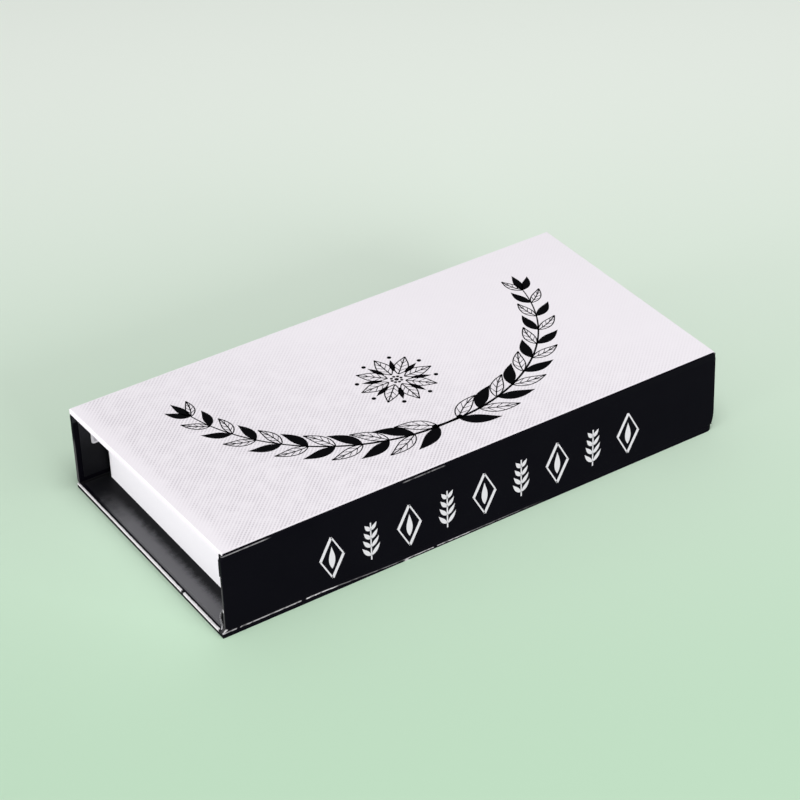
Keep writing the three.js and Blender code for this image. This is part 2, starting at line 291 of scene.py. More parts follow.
class Shader:
    """A material's node tree round one Principled shader, with the surface's own constants."""

    def __init__(self, name, place="rest", **constants):
        self.material = bpy.data.materials.new(name)
        self.material.use_nodes = True
        self.tree = self.material.node_tree
        self.surface = self.tree.nodes["Principled BSDF"]
        for word, value in constants.items():
            self.socket(word).default_value = value
        self.vector = self.start_vector(place)

    def socket(self, word):
        names = {
            "colour": "Base Color", "roughness": "Roughness", "metal": "Metallic",
            "gloss": "Specular IOR Level", "coat": "Coat Weight", "coat_roughness": "Coat Roughness",
            "sheen": "Sheen Weight", "anisotropy": "Anisotropic", "normal": "Normal",
        }
        return self.surface.inputs[names[word]]

    def start_vector(self, place):
        """The point on the piece at rest, in millimetres."""
        if place == "rest":
            point = new_term(self.tree, "ShaderNodeAttribute", {}, "Vector", attribute_name="rest")
        else:
            point = new_term(self.tree, "ShaderNodeTexCoord", {}, "Object")
        return self.times(point, (1 / MM,) * 3)

    def times(self, vector, factors):
        return new_term(self.tree, "ShaderNodeVectorMath", {0: vector, 1: factors}, operation="MULTIPLY")

    def place(self):
        node = self.tree.nodes.new("ShaderNodeSeparateXYZ")
        plug(self.tree, self.vector, node.inputs[0])
        return [Term(self.tree, output) for output in node.outputs]

    def insets(self):
        """Distances in from the case's left, right, front and back, in millimetres."""
        x, y, _ = self.place()
        low, high = (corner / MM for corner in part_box("base_wrap"))
        return x - low.x, high.x - x, y - low.y, high.y - y

    def noise(self, size, detail=2.0, stretch=(1, 1, 1)):
        """Smooth noise from 0 to 1, with grains of about the given size in millimetres."""
        inputs = {"Vector": self.times(self.vector, stretch), "Scale": 1 / size, "Detail": detail}
        return new_term(self.tree, "ShaderNodeTexNoise", inputs)

    def cells(self, size):
        inputs = {"Vector": self.vector, "Scale": 1 / size}
        return new_term(self.tree, "ShaderNodeTexVoronoi", inputs, "Distance")

    def mix(self, share, first, second):
        colours = [(*value, 1.0) if isinstance(value, tuple) else value for value in (first, second)]
        inputs = {0: share, 6: colours[0], 7: colours[1]}
        return new_term(self.tree, "ShaderNodeMix", inputs, 2, data_type="RGBA")

    def set(self, word, value):
        plug(self.tree, value, self.socket(word))

    def bump(self, height, depth):
        """Raises the surface by depth, in millimetres, where height is 1."""
        inputs = {"Distance": depth * MM, "Height": height}
        self.set("normal", new_term(self.tree, "ShaderNodeBump", inputs))

    def finish(self, colour, roughness, relief, depth):
        self.set("colour", colour)
        self.set("roughness", roughness)
        self.bump(relief, depth)
        return self.material

    def grained(self, grain, dark, light, roughness, depth):
        """The material with one grain in its colour, its roughness (share and least) and its relief."""
        rough = grain * roughness[0] + roughness[1]
        return self.finish(self.mix(grain, dark, light), rough, grain, depth)


def spot(place, centre, radius):
    """1 at a point of the surface, falling to 0 at the given radius."""
    parts = [axis - at for axis, at in zip(place, centre)]
    squares = [part * part for part in parts]
    distance = (squares[0] + squares[1] + squares[2]).math("SQRT")
    return distance.fall(0.55 * radius, radius)


# Materials

def wear_and_painted_highlights(shader):
    """Where the black paper is rubbed through: the crease at the foot, the lid's edge and the left end; with
    painted highlights on the left end faces and in one spot low on the spine's left end.
    """
    x, y, z = place = shader.place()
    left, _, front, _ = shader.insets()
    front_face = front.fall(0.4, 0.7)
    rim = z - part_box("base_wrap")[1].z / MM
    dashes = shader.noise(2.6, 2.0, (1, 0, 0))
    fine = shader.noise(0.9, 2.0)
    breaks = most_of(x.band(*span) for span in CREASE_BREAKS)
    strength = x.fall(-58, -54) * 0.3 + x.band(-69, -59, 2) * 0.3
    strength = strength + x.band(-29, -5, 2) * 0.5 + x.fall(8, 28) * 0.24
    rubbed = strength * dashes.ramp(0.36, 0.56, 0.3, 1.0) * (1 - breaks)
    above = z - x.ramp(-66, -30, 1.85, 0.75) + (dashes - 0.5) * 0.4
    crease = above.band(-0.1, 0.1, 0.16) * front_face * rubbed
    from_edge = (left * left + rim * rim).math("SQRT")
    reach = (y * -0.002 + 0.6) + (fine - 0.5) * 0.5
    left_edge = (from_edge - reach).fall(-0.1, 0.1) * rim.fall(0.25, 0.45)
    left_edge = left_edge * (1 - y.band(-24.0, -22.9, 0.3)) * front.rise(2.8, 3.2)
    end_scuff = x.band(-97.5, -85, 4) * dashes.ramp(0.3, 0.6, 0.2, 0.42)
    nicks = x.band(-30, -15, 2) * dashes.ramp(0.36, 0.56, 0.0, 0.28)
    scuff = z.band(31.9, 32.2, 0.12) * front_face * end_scuff.most(nicks)
    # Rubbed spots, and one painted highlight spot low on the spine's left end
    spots = most_of(spot(place, centre, radius) * share for centre, radius, share in RUBBED_AND_HIGHLIGHT_SPOTS)
    # Painted highlight: the left end faces are paled between about 4 and 18 mm up, as satin paper catching
    # the light
    painted_end_highlight = left.fall(0.1, 0.2) * z.band(4.0, 18.0, 4.0) * front.rise(0.4, 0.8) * 0.08
    return most_of((crease, left_edge, scuff, spots, painted_end_highlight)).least(1.0)


def painted_lit_strip(shader):
    """Painted light on the base's top past the tray's two ends: a pale strip where light falls outside the
    lid's shadow, fading into painted shade towards the tray and the back.
    """
    _, y, z = shader.place()
    left, right, front, _ = shader.insets()
    end = left.least(right)
    strip_noise = shader.noise(2.2, 2.0, (0.7, 1, 1)) + shader.noise(0.5, 2.0) * 0.9 - 0.95
    along = (y + strip_noise * 8).fall(16, 42) * front.rise(1.4, 1.8)
    return (end - strip_noise * 2.2).fall(4.8, 9.2) * end.rise(1.2, 1.6) * along * z.band(1.7, 2.3, 0.1)


def black_paper():
    shader = Shader("black_paper", gloss=0.02)
    worn_or_highlit = wear_and_painted_highlights(shader)
    mottle = shader.noise(14.0, 4.0)
    black = shader.mix(mottle, (0.0022, 0.0019, 0.0040), (0.0038, 0.0034, 0.0060))
    # Pales towards the painted lit strip's colour on the base's ends, and towards near white where worn or
    # painted highlit
    colour = shader.mix(worn_or_highlit, shader.mix(painted_lit_strip(shader), black, LIT_STRIP_COLOUR), (0.80, 0.79, 0.80))
    rough = shader.noise(3.0, 3.0) * 0.14 + 0.42 + worn_or_highlit * 0.3
    return shader.finish(colour, rough, shader.noise(0.22, 3.0) + worn_or_highlit * -1.5, 0.02)


def lining_paper(name, axes, low, high):
    """Charcoal lining: the covering paper's turned-in edge shows through it as a low step, painted light
    pales the base's two ends, a painted sheen pales it higher up, and the lower hinge strip's cut ends are
    frayed."""
    shader = Shader(name, gloss=0.1)
    place = shader.place()
    x, z = place[X], place[Z]
    cut_end = x.math("ABSOLUTE").rise((high.x - HINGE_FRAY) / MM, (high.x - 0.5 * HINGE_FRAY) / MM)
    frayed = cut_end * z.fall(14, 16)
    inside = None
    for axis in axes:
        near = (place[axis] - low[axis] / MM).rise(TURN_IN / MM - 0.7, TURN_IN / MM + 0.7)
        far = (high[axis] / MM - place[axis]).rise(TURN_IN / MM - 0.7, TURN_IN / MM + 0.7)
        inside = near * far if inside is None else inside * near * far
    fibre = shader.noise(0.3, 3.0)
    cloud = shader.noise(16.0, 4.0)
    # The charcoal is a little paler in random clouds, and much paler higher up, on the flap and the lid: a
    # painted sheen
    cloud_and_painted_sheen = cloud * 0.25 + z.rise(14, 27) * 0.75
    charcoal = shader.mix(cloud_and_painted_sheen, (0.0025, 0.0025, 0.004), (0.026, 0.026, 0.031))
    # Painted light: the pale strip on the base's two ends, over the charcoal and its painted sheen
    sheen_and_lit_strip = shader.mix(painted_lit_strip(shader), charcoal, LIT_STRIP_COLOUR)
    colour = shader.mix(frayed * fibre.rise(0.3, 0.55), sheen_and_lit_strip, (0.60, 0.60, 0.62))
    relief = fibre * 0.2 + inside * -1.0 + shader.noise(9.0, 2.0) * 0.6
    return shader.finish(colour, cloud * 0.12 + 0.5, relief, 0.1)


def weave(shader):
    """The diagonal weave that is pressed into the cover paper, and how deep it is at each place."""
    x, y, _ = shader.place()
    spread = math.hypot(1, WEAVE_SLOPE)
    wander = (shader.noise(7.0, 2.0) - 0.5) * 0.35
    first = ((x * WEAVE_SLOPE - y) * (1 / spread) + wander).wave(WEAVE_PITCH)
    second = ((x * WEAVE_SLOPE + y) * (1 / spread) + wander).wave(WEAVE_PITCH * 0.96)
    ridges = (first + second - first * second) * 0.55 + first * 0.45
    depth = (x + y * 1.2).fall(-70, 70) * 0.9 + 0.1
    left, right, front, back = shader.insets()
    ends = left.ramp(1.2, 8.0, 0.12, 1.0) * right.rise(0.8, 1.4)
    pressed = ends * front.rise(0.7, 1.1) * back.rise(0.7, 1.1)
    return ridges, depth * pressed * shader.noise(5.0, 3.0).ramp(0.25, 0.65, 0.45, 1.0)


def cover_paper():
    shader = Shader("cover_paper", gloss=0.15)
    ridges, depth = weave(shader)
    # Painted shade: the weave's grooves are darkened in colour, most at the left and front, where the weave
    # is deepest
    groove_painted_shade = (1 - ridges) * depth
    paper = shader.mix(shader.noise(24.0, 3.0), (0.915, 0.878, 0.925), (0.935, 0.90, 0.945))
    colour = shader.mix(groove_painted_shade, paper, (0.60, 0.565, 0.61))
    relief = ridges * depth + shader.noise(0.35, 2.0) * 0.15
    return shader.finish(colour, ridges * -0.1 + 0.62, relief, 0.05)


def black_ink():
    shader = Shader("black_ink", gloss=0.002)
    ridges, depth = weave(shader)
    colour = shader.mix(shader.noise(1.6, 3.0), (0.0025, 0.0025, 0.003), (0.005, 0.005, 0.006))
    return shader.finish(colour, 0.7, ridges * depth, 0.05)


def silver_ink():
    shader = Shader("silver_ink", gloss=0.4)
    grain = shader.noise(0.5, 3.0)
    return shader.grained(grain, (0.70, 0.70, 0.72), (0.84, 0.84, 0.86), (0.2, 0.35), 0.01)


def tray_paper():
    shader = Shader("tray_paper", gloss=0.3)
    z = shader.place()[Z]
    fibre = shader.noise(0.4, 4.0)
    # Darker, in patches, towards the tray's foot
    darker_foot = shader.noise(9.0, 4.0) * z.fall(2.0, 9.0) * 0.06
    white = shader.mix(shader.noise(30.0, 2.0), (0.92, 0.91, 0.945), (0.945, 0.935, 0.965))
    colour = shader.mix(darker_foot, white, (0.62, 0.60, 0.63))
    return shader.finish(colour, fibre * 0.15 + 0.5, fibre * 0.4 + shader.noise(6.0, 2.0), 0.05)


def grey_board():
    shader = Shader("grey_board", place="object", gloss=0.2)
    fleck = shader.noise(0.5, 4.0)
    layers = shader.noise(0.3, 2.0, (0.1, 0.1, 1))
    colour = shader.mix(fleck * 0.6 + layers * 0.4, (0.20, 0.18, 0.16), (0.36, 0.33, 0.30))
    return shader.finish(colour, 0.95, fleck, 0.06)


def foam():
    shader = Shader("foam", place="object", gloss=0.15, sheen=0.2)
    pores = shader.cells(0.45)
    return shader.grained(pores, (0.006, 0.006, 0.007), (0.022, 0.022, 0.024), (0.2, 0.75), 0.12)


def tin_plate():
    shader = Shader("tin_plate", metal=1.0, anisotropy=0.3)
    drawn = shader.noise(0.25, 2.0, (0.08, 1, 1))
    return shader.grained(drawn, (0.58, 0.58, 0.60), (0.74, 0.74, 0.75), (0.2, 0.24), 0.006)


def zinc_steel():
    """Zinc plate with a clouded face and a painted highlight round its border."""
    shader = Shader("zinc_steel", metal=0.35, gloss=0.6)
    x, _, z = shader.place()
    low, high = (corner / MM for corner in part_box("catch_plate_right"))
    side = x.math("ABSOLUTE")
    inset = (side - low.x).least(high.x - side).least((z - low.z).least(high.z - z))
    bloom = shader.noise(2.2, 3.0)
    face = shader.mix(bloom, (0.42, 0.41, 0.43), (0.60, 0.59, 0.61))
    # Painted highlight: the colour pales to near white within about a millimetre of the plate's border
    colour = shader.mix(inset.fall(0.4, 1.2), face, (0.84, 0.83, 0.85))
    return shader.finish(colour, bloom * 0.2 + 0.3, shader.noise(0.3, 2.0), 0.01)


def nickel():
    shader = Shader("nickel", place="object", metal=1.0)
    haze = shader.noise(0.8, 3.0)
    return shader.grained(haze, (0.48, 0.47, 0.46), (0.60, 0.59, 0.57), (0.12, 0.2), 0.008)


def mirror_glass():
    shader = Shader("mirror_glass", metal=1.0)
    smear = shader.noise(18.0, 4.0, (1, 0.4, 1))
    colour = shader.mix(smear, (0.83, 0.86, 0.86), (0.88, 0.90, 0.90))
    return shader.finish(colour, smear.rise(0.5, 0.8) * 0.06 + 0.015, shader.noise(40.0, 1.0), 0.01)


def black_plastic():
    shader = Shader("black_plastic", gloss=0.5, coat=0.3, coat_roughness=0.1)
    flow = shader.noise(4.0, 3.0, (0.2, 1, 1))
    colour = shader.mix(flow, (0.006, 0.006, 0.007), (0.011, 0.011, 0.012))
    return shader.finish(colour, flow * 0.1 + 0.18, shader.noise(0.6, 2.0), 0.006)


def sponge():
    shader = Shader("sponge", gloss=0.1, sheen=0.4)
    pores = shader.cells(0.32)
    return shader.grained(pores, (0.62, 0.55, 0.46), (0.84, 0.79, 0.71), (0.1, 0.85), 0.15)


def powder(name, colour, shimmer):
    shader = Shader(name, gloss=0.3, metal=0.25 * shimmer)
    grain = shader.noise(0.18, 3.0)
    glint = shader.cells(0.22).fall(0.05, 0.2) * shimmer
    dark = tuple(0.86 * part for part in colour)
    light = tuple(part + 0.3 * (1 - part) for part in colour)
    base = shader.mix(grain, dark, colour)
    if shimmer:
        return shader.finish(shader.mix(glint, base, light), glint * -0.45 + 0.85, grain, 0.03)
    return shader.finish(base, grain * 0.1 + 0.82, grain, 0.03)


# Meshes

def bridge(bm, first, second, closed=True, keep=None):
    """Faces between two rows of vertices, where a row may be one point; keep tells which faces stay."""
    count = max(len(first), len(second))
    for index in range(count if closed else count - 1):
        after = (index + 1) % count
        around = [first[index % len(first)], first[after % len(first)]]
        around += [second[after % len(second)], second[index % len(second)]]
        corners = list(dict.fromkeys(around))
        if keep is None or keep(corners):
            bm.faces.new(corners)


def outward(bm):
    bmesh.ops.recalc_face_normals(bm, faces=bm.faces)
    return bm


def circle(steps):
    """The angles of a full turn in equal steps."""
    return [2 * math.pi * step / steps for step in range(steps)]


def prism(outline, axes, near, far):
    """A closed block: its outline lies on the first two axes, and it runs from near to far on the third."""
    bm = bmesh.new()

    def vertex(point, depth):
        place = Vector()
        for axis, value in zip(axes, (*point, depth)):
            place[axis] = value
        return bm.verts.new(place)

    ends = [[vertex(point, depth) for point in outline] for depth in (near, far)]
    for end in ends:
        bm.faces.new(end)
    bridge(bm, *ends)
    return outward(bm)


def soften(bm, radius, segments=3, sharp=None):
    """Rounds the block's edges, but those whose middle is in a sharp place."""
    edges = []
    for edge in bm.edges:
        middle = (edge.verts[0].co + edge.verts[1].co) / 2
        if edge.calc_face_angle(0) > BEVEL_ANGLE and not (sharp and sharp(middle)):
            edges.append(edge)
    bmesh.ops.bevel(
        bm, geom=edges, offset=radius, segments=segments, profile=0.5, affect="EDGES", clamp_overlap=True
    )
    return bm


def sheet(rows, closed=False):
    """A sheet of faces through rows of points; closed joins each row's end to its start."""
    bm = bmesh.new()
    grid = [[bm.verts.new(point) for point in row] for row in rows]
    for first, second in zip(grid, grid[1:]):
        bridge(bm, first, second, closed)
    return bm


def thicken(bm, thickness):
    """Gives a sheet its thickness, on the side away from its faces."""
    bm.normal_update()
    bmesh.ops.solidify(bm, geom=bm.faces, thickness=thickness)
    return bm


def turned(profile, steps):
    """A closed body turned about Z from (radius, height) points that start and end on the axis."""
    rings = []
    for radius, height in profile:
        if radius < SLIVER:
            rings.append([(0, 0, height)])
        else:
            rings.append([(radius * math.cos(a), radius * math.sin(a), height) for a in circle(steps)])
    return outward(sheet(rings, closed=True))


def arc(centre, radius, start, end, steps):
    """Points on an arc, with the angles in degrees."""
    angles = [math.radians(start + (end - start) * step / steps) for step in range(steps + 1)]
    return [(centre[0] + radius * math.cos(a), centre[1] + radius * math.sin(a)) for a in angles]


def rounded(low, high, radius):
    """A rectangle's points, anticlockwise, with rounded corners."""
    points = []
    corners = (
        (high[0] - radius, high[1] - radius, 0), (low[0] + radius, high[1] - radius, 90),
        (low[0] + radius, low[1] + radius, 180), (high[0] - radius, low[1] + radius, 270),
    )
    for x, y, start in corners:
        points += arc((x, y), radius, start, start + 90, CORNER_STEPS)
    return points


def link(name, bm):
    mesh = bpy.data.meshes.new(name)
    bm.to_mesh(mesh)
    bm.free()
    obj = bpy.data.objects.new(name, mesh)
    bpy.context.scene.collection.objects.link(obj)
    return obj


def finish_piece(obj, material, stands_for=()):
    """Smooth faces, the place at rest for the shaders, the material, and the nodes that it stands for."""
    mesh = obj.data
    mesh.shade_smooth()
    mesh.set_sharp_from_angle(angle=SMOOTH_ANGLE)
    rest = mesh.attributes.new("rest", "FLOAT_VECTOR", "POINT")
    rest.data.foreach_set("vector", [value for vertex in mesh.vertices for value in vertex.co])
    mesh.materials.clear()
    mesh.materials.append(material)
    if stands_for:
        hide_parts(*stands_for)
    return obj


def settle(obj, body):
    """Keeps flat faces flat in the shading beside rounded edges, and puts the piece on its body."""
    normals = obj.modifiers.new("weighted_normals", "WEIGHTED_NORMAL")
    normals.keep_sharp = True
    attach(obj, body)
    return obj


def add(name, bm, material, body, stands_for=()):
    return settle(finish_piece(link(name, bm), material, stands_for), body)


def cut_away(obj, cutters):
    """Takes the cutters' shapes out of the piece's mesh, and removes the cutters."""
    for cutter in cutters:
        modifier = obj.modifiers.new("cut", "BOOLEAN")
        modifier.operation = "DIFFERENCE"
        modifier.solver = "EXACT"
        modifier.object = cutter
    bpy.context.view_layer.update()
    graph = bpy.context.evaluated_depsgraph_get()
    mesh = bpy.data.meshes.new_from_object(obj.evaluated_get(graph))
    obj.modifiers.clear()
    obj.data = mesh
    for cutter in cutters:
        bpy.data.objects.remove(cutter)


# Case panels

class Bump:
    """A corner at high X and low V that is worn to a quarter ellipse."""

    def __init__(self, corner, radii):
        self.centre = (corner[0] - radii[0], corner[1] + radii[1])
        self.radii = radii

    def points(self, low_v, high_x, inset):
        """The corner's points between a level and an end, drawn in by inset."""
        radii = [radius - inset for radius in self.radii]
        start = math.asin(max(-1.0, (low_v - self.centre[1]) / radii[1]))
        end = -math.acos(min(1.0, (high_x - self.centre[0]) / radii[0]))
        if start >= end:
            return [(high_x, low_v)]
        angles = [start + (end - start) * step / BUMP_STEPS for step in range(BUMP_STEPS + 1)]
        return [
            (self.centre[0] + radii[0] * math.cos(a), self.centre[1] + radii[1] * math.sin(a)) for a in angles
        ]


def outline(low, high, bump=None, inset=0.0):
    """Corners of a rectangle, anticlockwise, with the bumped corner if it has one."""
    corner = bump.points(low[1], high[0], inset) if bump else [(high[0], low[1])]
    return [(low[0], low[1]), *corner, (high[0], high[1]), (low[0], high[1])]


def on_axes(corner, axes):
    return [corner[axis] for axis in axes[:2]]


def add_covering(name, axes, material, bump=None, turned_edges=(), sharp=None):
    """One panel's covering paper: a rounded envelope, hollow for the board, open where the lining lies."""
    low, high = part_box(f"{name}_wrap")
    board_low, board_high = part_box(f"{name}_board")
    thin = axes[2]
    flat_low, flat_high = on_axes(low, axes), on_axes(high, axes)
    envelope = prism(outline(flat_low, flat_high, bump), axes, low[thin], high[thin])
    obj = link(f"{name}_covering", soften(envelope, EDGE_RADIUS, sharp=sharp))

    hollow_low, hollow_high = on_axes(board_low, axes), on_axes(board_high, axes)
    window_low = [hollow_low[0] + TURN_IN, hollow_low[1] + SLIVER]
    window_high = [hollow_high[0] - TURN_IN, hollow_high[1] - SLIVER]
    if "low" in turned_edges:
        window_low[1] += TURN_IN
    if "high" in turned_edges:
        window_high[1] -= TURN_IN
    if hollow_low[1] - flat_low[1] < SLIVER:
        hollow_low[1] -= OVERRUN
    if flat_high[1] - hollow_high[1] < SLIVER:
        hollow_high[1] += OVERRUN
    middle = (board_low[thin] + board_high[thin]) / 2
    inward = -1 if name in ("lid", "flap") else 1
    hollow = prism(outline(hollow_low, hollow_high, bump, PAPER), axes, board_low[thin], board_high[thin])
    window = prism(outline(window_low, window_high), axes, middle, middle + inward * 2 * OVERRUN)
    cut_away(obj, [link("hollow", hollow), link("window", window)])
    finish_piece(obj, material, [f"{name}_wrap"])
    return settle(obj, name)


def draw_in(obj, left, right):
    """Draws a piece's two ends in; left and right give by how much at a point of that half."""
    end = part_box("base_wrap")[1].x
    for vertex in obj.data.vertices:
        side = vertex.co.x / end
        vertex.co.x -= side * (right if side > 0 else left)(vertex.co)


def draw_lid(obj):
    """The lid's board is cut out of square, so that its ends run in towards the front."""
    low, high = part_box("lid_cover_paper")

    def forward(at):
        return (high.y - at.y) / (high.y - low.y)

    draw_in(obj, lambda at: LID_SHORT_LEFT * forward(at), lambda at: LID_SHORT_RIGHT * forward(at))


def draw_spine(obj):
    """The spine is cut short at its left, where the fold at its foot tapers to it; its right end leans in."""
    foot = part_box("base_wrap")[1].z
    low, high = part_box("spine_wrap")

    def height(at, top):
        return min(1.0, max(0.0, (at.z - foot) / (top - foot)))

    draw_in(
        obj,
        lambda at: SPINE_SHORT_LEFT * height(at, low.z),
        lambda at: SPINE_SHORT_RIGHT * height(at, high.z),
    )


def add_board(name, axes, material, bump=None):
    """The board of a panel whose ends are drawn in."""
    low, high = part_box(f"{name}_board")
    flat = outline(on_axes(low, axes), on_axes(high, axes), bump, PAPER)
    block = soften(prism(flat, axes, low[axes[2]], high[axes[2]]), SLIVER, 1)
    return add(f"{name}_board_panel", block, material, name, [f"{name}_board"])


def add_lining(name, axes, bump=None):
    low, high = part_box(f"{name}_lining")
    wrap_low, wrap_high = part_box(f"{name}_wrap")
    thin = axes[2]
    if high[thin] > wrap_high[thin]:
        near, far = wrap_high[thin], high[thin]
    else:
        near, far = low[thin], wrap_low[thin]
    flat = outline(on_axes(low, axes), on_axes(high, axes), bump, PAPER)
    block = soften(prism(flat, axes, near, far), LINING_EDGE, 2)
    material = lining_paper(f"{name}_lining_paper", axes[:2], wrap_low, wrap_high)
    return add(f"{name}_lining_sheet", block, material, name, [f"{name}_lining"])


def add_case(paper, board):
    base_low, base_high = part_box("base_wrap")
    spine_low, spine_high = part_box("spine_wrap")
    lid_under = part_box("lid_wrap")[0].z
    flap_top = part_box("flap_wrap")[1].z
    front, back = base_low.y, base_high.y
    base_bump = Bump((base_high.x, front), (BASE_BUMP, BASE_BUMP))
    spine_bump = Bump((base_high.x, base_low.z), (SPINE_BUMP_LENGTH, SPINE_BUMP_HEIGHT))

    def near(value, place):
        return abs(value - place) < SLIVER

    add_covering(
        "base", (X, Y, Z), paper, base_bump, ("high",),
        sharp=lambda at: near(at.y, front) and near(at.z, base_high.z),
    )
    draw_spine(add_covering(
        "spine", (X, Z, Y), paper, spine_bump,
        sharp=lambda at: near(at.z, spine_low.z) or near(at.z, spine_high.z),
    ))
    draw_lid(add_covering(
        "lid", (X, Y, Z), paper,
        sharp=lambda at: near(abs(at.y), back) and near(at.z, lid_under),
    ))
    add_covering(
        "flap", (X, Z, Y), paper, None, ("low",),
        sharp=lambda at: near(at.z, flap_top),
    )
    draw_spine(add_board("spine", (X, Z, Y), board, spine_bump))
    draw_lid(add_board("lid", (X, Y, Z), board))
    add_lining("base", (X, Y, Z), base_bump)
    spine_lining = add_lining("spine", (X, Z, Y), spine_bump)
    draw_spine(spine_lining)
    draw_lid(add_lining("lid", (X, Y, Z)))
    add_lining("flap", (X, Z, Y))
    add_folds(paper, base_bump, spine_bump)
    add_hinge_linings(spine_lining.data.materials[0])


def add_bend(name, rows, thickness, material, slot, nodes, bodies, start, end, flip=False):
    """A piece of paper in a fold between two panels, in its closed shape; start and end are not used."""
    bm = sheet(rows)
    if flip:
        bmesh.ops.reverse_faces(bm, faces=bm.faces)
    obj = finish_piece(link(name, thicken(bm, thickness)), material, nodes)
    if "spine" in bodies:
        draw_spine(obj)
    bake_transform(obj)


def turned_end(end, along, face, inner):
    """Plan points of paper that is turned round a panel's end, from its inner face to its outer one."""
    inward = math.copysign(EDGE_RADIUS, inner - face)
    quarter = arc((0, 0), 1, 0, 90, 3)
    bend = [(end + along * EDGE_RADIUS * (1 - u), face + inward * (1 - v)) for u, v in quarter]
    return [(end, inner), *bend]


def add_folds(paper, base_bump, spine_bump):
    """The covering paper where it bends between two panels, on the outside of the case."""
    rng = random.Random(7)
    base_low, base_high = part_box("base_wrap")
    spine_low, spine_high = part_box("spine_wrap")
    lid_low, lid_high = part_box("lid_wrap")
    flap_low, flap_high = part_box("flap_wrap")
    left = spine_low.x
    half = spine_high.x
    creases = [rng.uniform(-1, 1) for _ in range(FOLD_COLUMNS + 1)]
    foot = base_bump.points(base_low.y, half, 0.0)
    bend = foot[:BUMP_STEPS - 1]
    spine_end = spine_bump.points(spine_low.z, half, 0.0)[0][0]

    def base_row(share):
        depth = FOLD_GROOVE * math.sin(math.pi * share)
        z = base_high.z + (spine_low.z - base_high.z) * share
        row = [(x, y, z) for x, y in turned_end(left, 1, base_low.y, spine_high.y)[:-1]]
        first = left + EDGE_RADIUS
        for index in range(FOLD_COLUMNS + 1):
            x = first + (bend[0][0] - first) * index / FOLD_COLUMNS
            row.append((x, base_low.y + depth * (1 + FOLD_WAVER * creases[index]), z))
        for step, (x, y) in enumerate(bend[1:], 1):
            upper = bend[0][0] + (spine_end - bend[0][0]) * step / (len(bend) - 1)
            row.append((x + (upper - x) * share, y + (base_low.y - y) * share + depth, z))
        return row

    def fold(name, rows, bodies, y, start, end, flip=False):
        places = (0, y, start), (0, y, end)
        add_bend(f"{name}_fold", rows, PAPER, paper, "black_paper", [f"{name}_crease"], bodies, *places, flip)

    shares = [row / (FOLD_ROWS - 1) for row in range(FOLD_ROWS)]
    rows = [base_row(share) for share in shares]
    fold("base", rows, ("base", "spine"), base_low.y, base_high.z, spine_low.z)

    def upper_row(face, inner, low, share):
        """A level row of the fold between an upright panel and the lid, turned in at its two ends."""
        z = low + (lid_low.z - low) * share
        end = half + (lid_high.x - half) * min(share, 1.0)
        plan = turned_end(-end, 1, face, inner) + turned_end(end, -1, face, inner)[::-1]
        return [(x, y, z) for x, y in plan]

    face = spine_low.y - SLIVER
    lid_shares = shares + [1 + FOLD_OVERLAP / (lid_low.z - spine_high.z)]
    rows = [upper_row(face, spine_high.y, spine_high.z, share) for share in lid_shares]
    fold("lid", rows, ("spine", "lid"), spine_low.y, spine_high.z, lid_low.z)
    rows = [upper_row(flap_high.y, flap_low.y, flap_high.z, share) for share in shares]
    fold("flap", rows, ("lid", "flap"), flap_high.y, lid_low.z, flap_high.z, flip=True)


def add_hinge_linings(material):
    """Strips of lining paper in the inner corners, slack enough for the panels to open."""
    base_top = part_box("base_lining")[1].z
    lid_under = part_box("lid_lining")[0].z
    spine_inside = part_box("spine_lining")[1].y
    flap_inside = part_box("flap_lining")[0].y
    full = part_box("spine_wrap")[1].x - SLIVER
    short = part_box("lid_lining")[1].x - LID_SHORT_LEFT
    bulge_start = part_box("tray_paper")[1].x + HINGE_MARGIN
    above_plates = lid_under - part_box("catch_plate_left")[1].z - HINGE_MARGIN

    def bulge(x, end_bulge):
        share = min(1.0, max(0.0, (abs(x) - bulge_start) / (full - bulge_start)))
        smooth = share * share * (3 - 2 * share)
        return HINGE_BULGE + (end_bulge - HINGE_BULGE) * smooth

    def strip(name, corner, inward, upward, bodies, half, reach, end_bulge):
        """A strip from the flat panel at the corner to the standing one, bulging inward."""
        rows = []
        for column in range(HINGE_COLUMNS + 1):
            side = 2 * column / HINGE_COLUMNS - 1
            swell = bulge(side * full, end_bulge)
            ends = (0.0, SLIVER), (2 * swell, HINGE_BELLY * reach), (SLIVER, reach)
            row = []
            for step in range(HINGE_STEPS + 1):
                t = step / HINGE_STEPS
                weights = (1 - t) ** 2, 2 * t * (1 - t), t * t
                out = sum(weight * end[0] for weight, end in zip(weights, ends))
                along = sum(weight * end[1] for weight, end in zip(weights, ends))
                width = half + (full - half) * min(1.0, t / HINGE_SPREAD)
                row.append((side * width, corner[0] + inward * (out + SLIVER), corner[1] + upward * along))
            rows.append(row)
        places = (0, *corner), (0, corner[0], corner[1] + upward * HINGE_TAKE_UP * reach)
        flip = inward * upward < 0
        add_bend(name, rows, 0.5 * PAPER, material, "black_lining", (), bodies, *places, flip)

    at_base, at_lid, at_flap = (spine_inside, base_top), (spine_inside, lid_under), (flap_inside, lid_under)
    strip("base_hinge_lining", at_base, 1, 1, ("base", "spine"), full, HINGE_REACH, HINGE_END_BULGE)
    strip("lid_hinge_lining", at_lid, 1, -1, ("lid", "spine"), short, HINGE_REACH, 0.0)
    strip("flap_hinge_lining", at_flap, -1, -1, ("lid", "flap"), short, above_plates, 0.0)


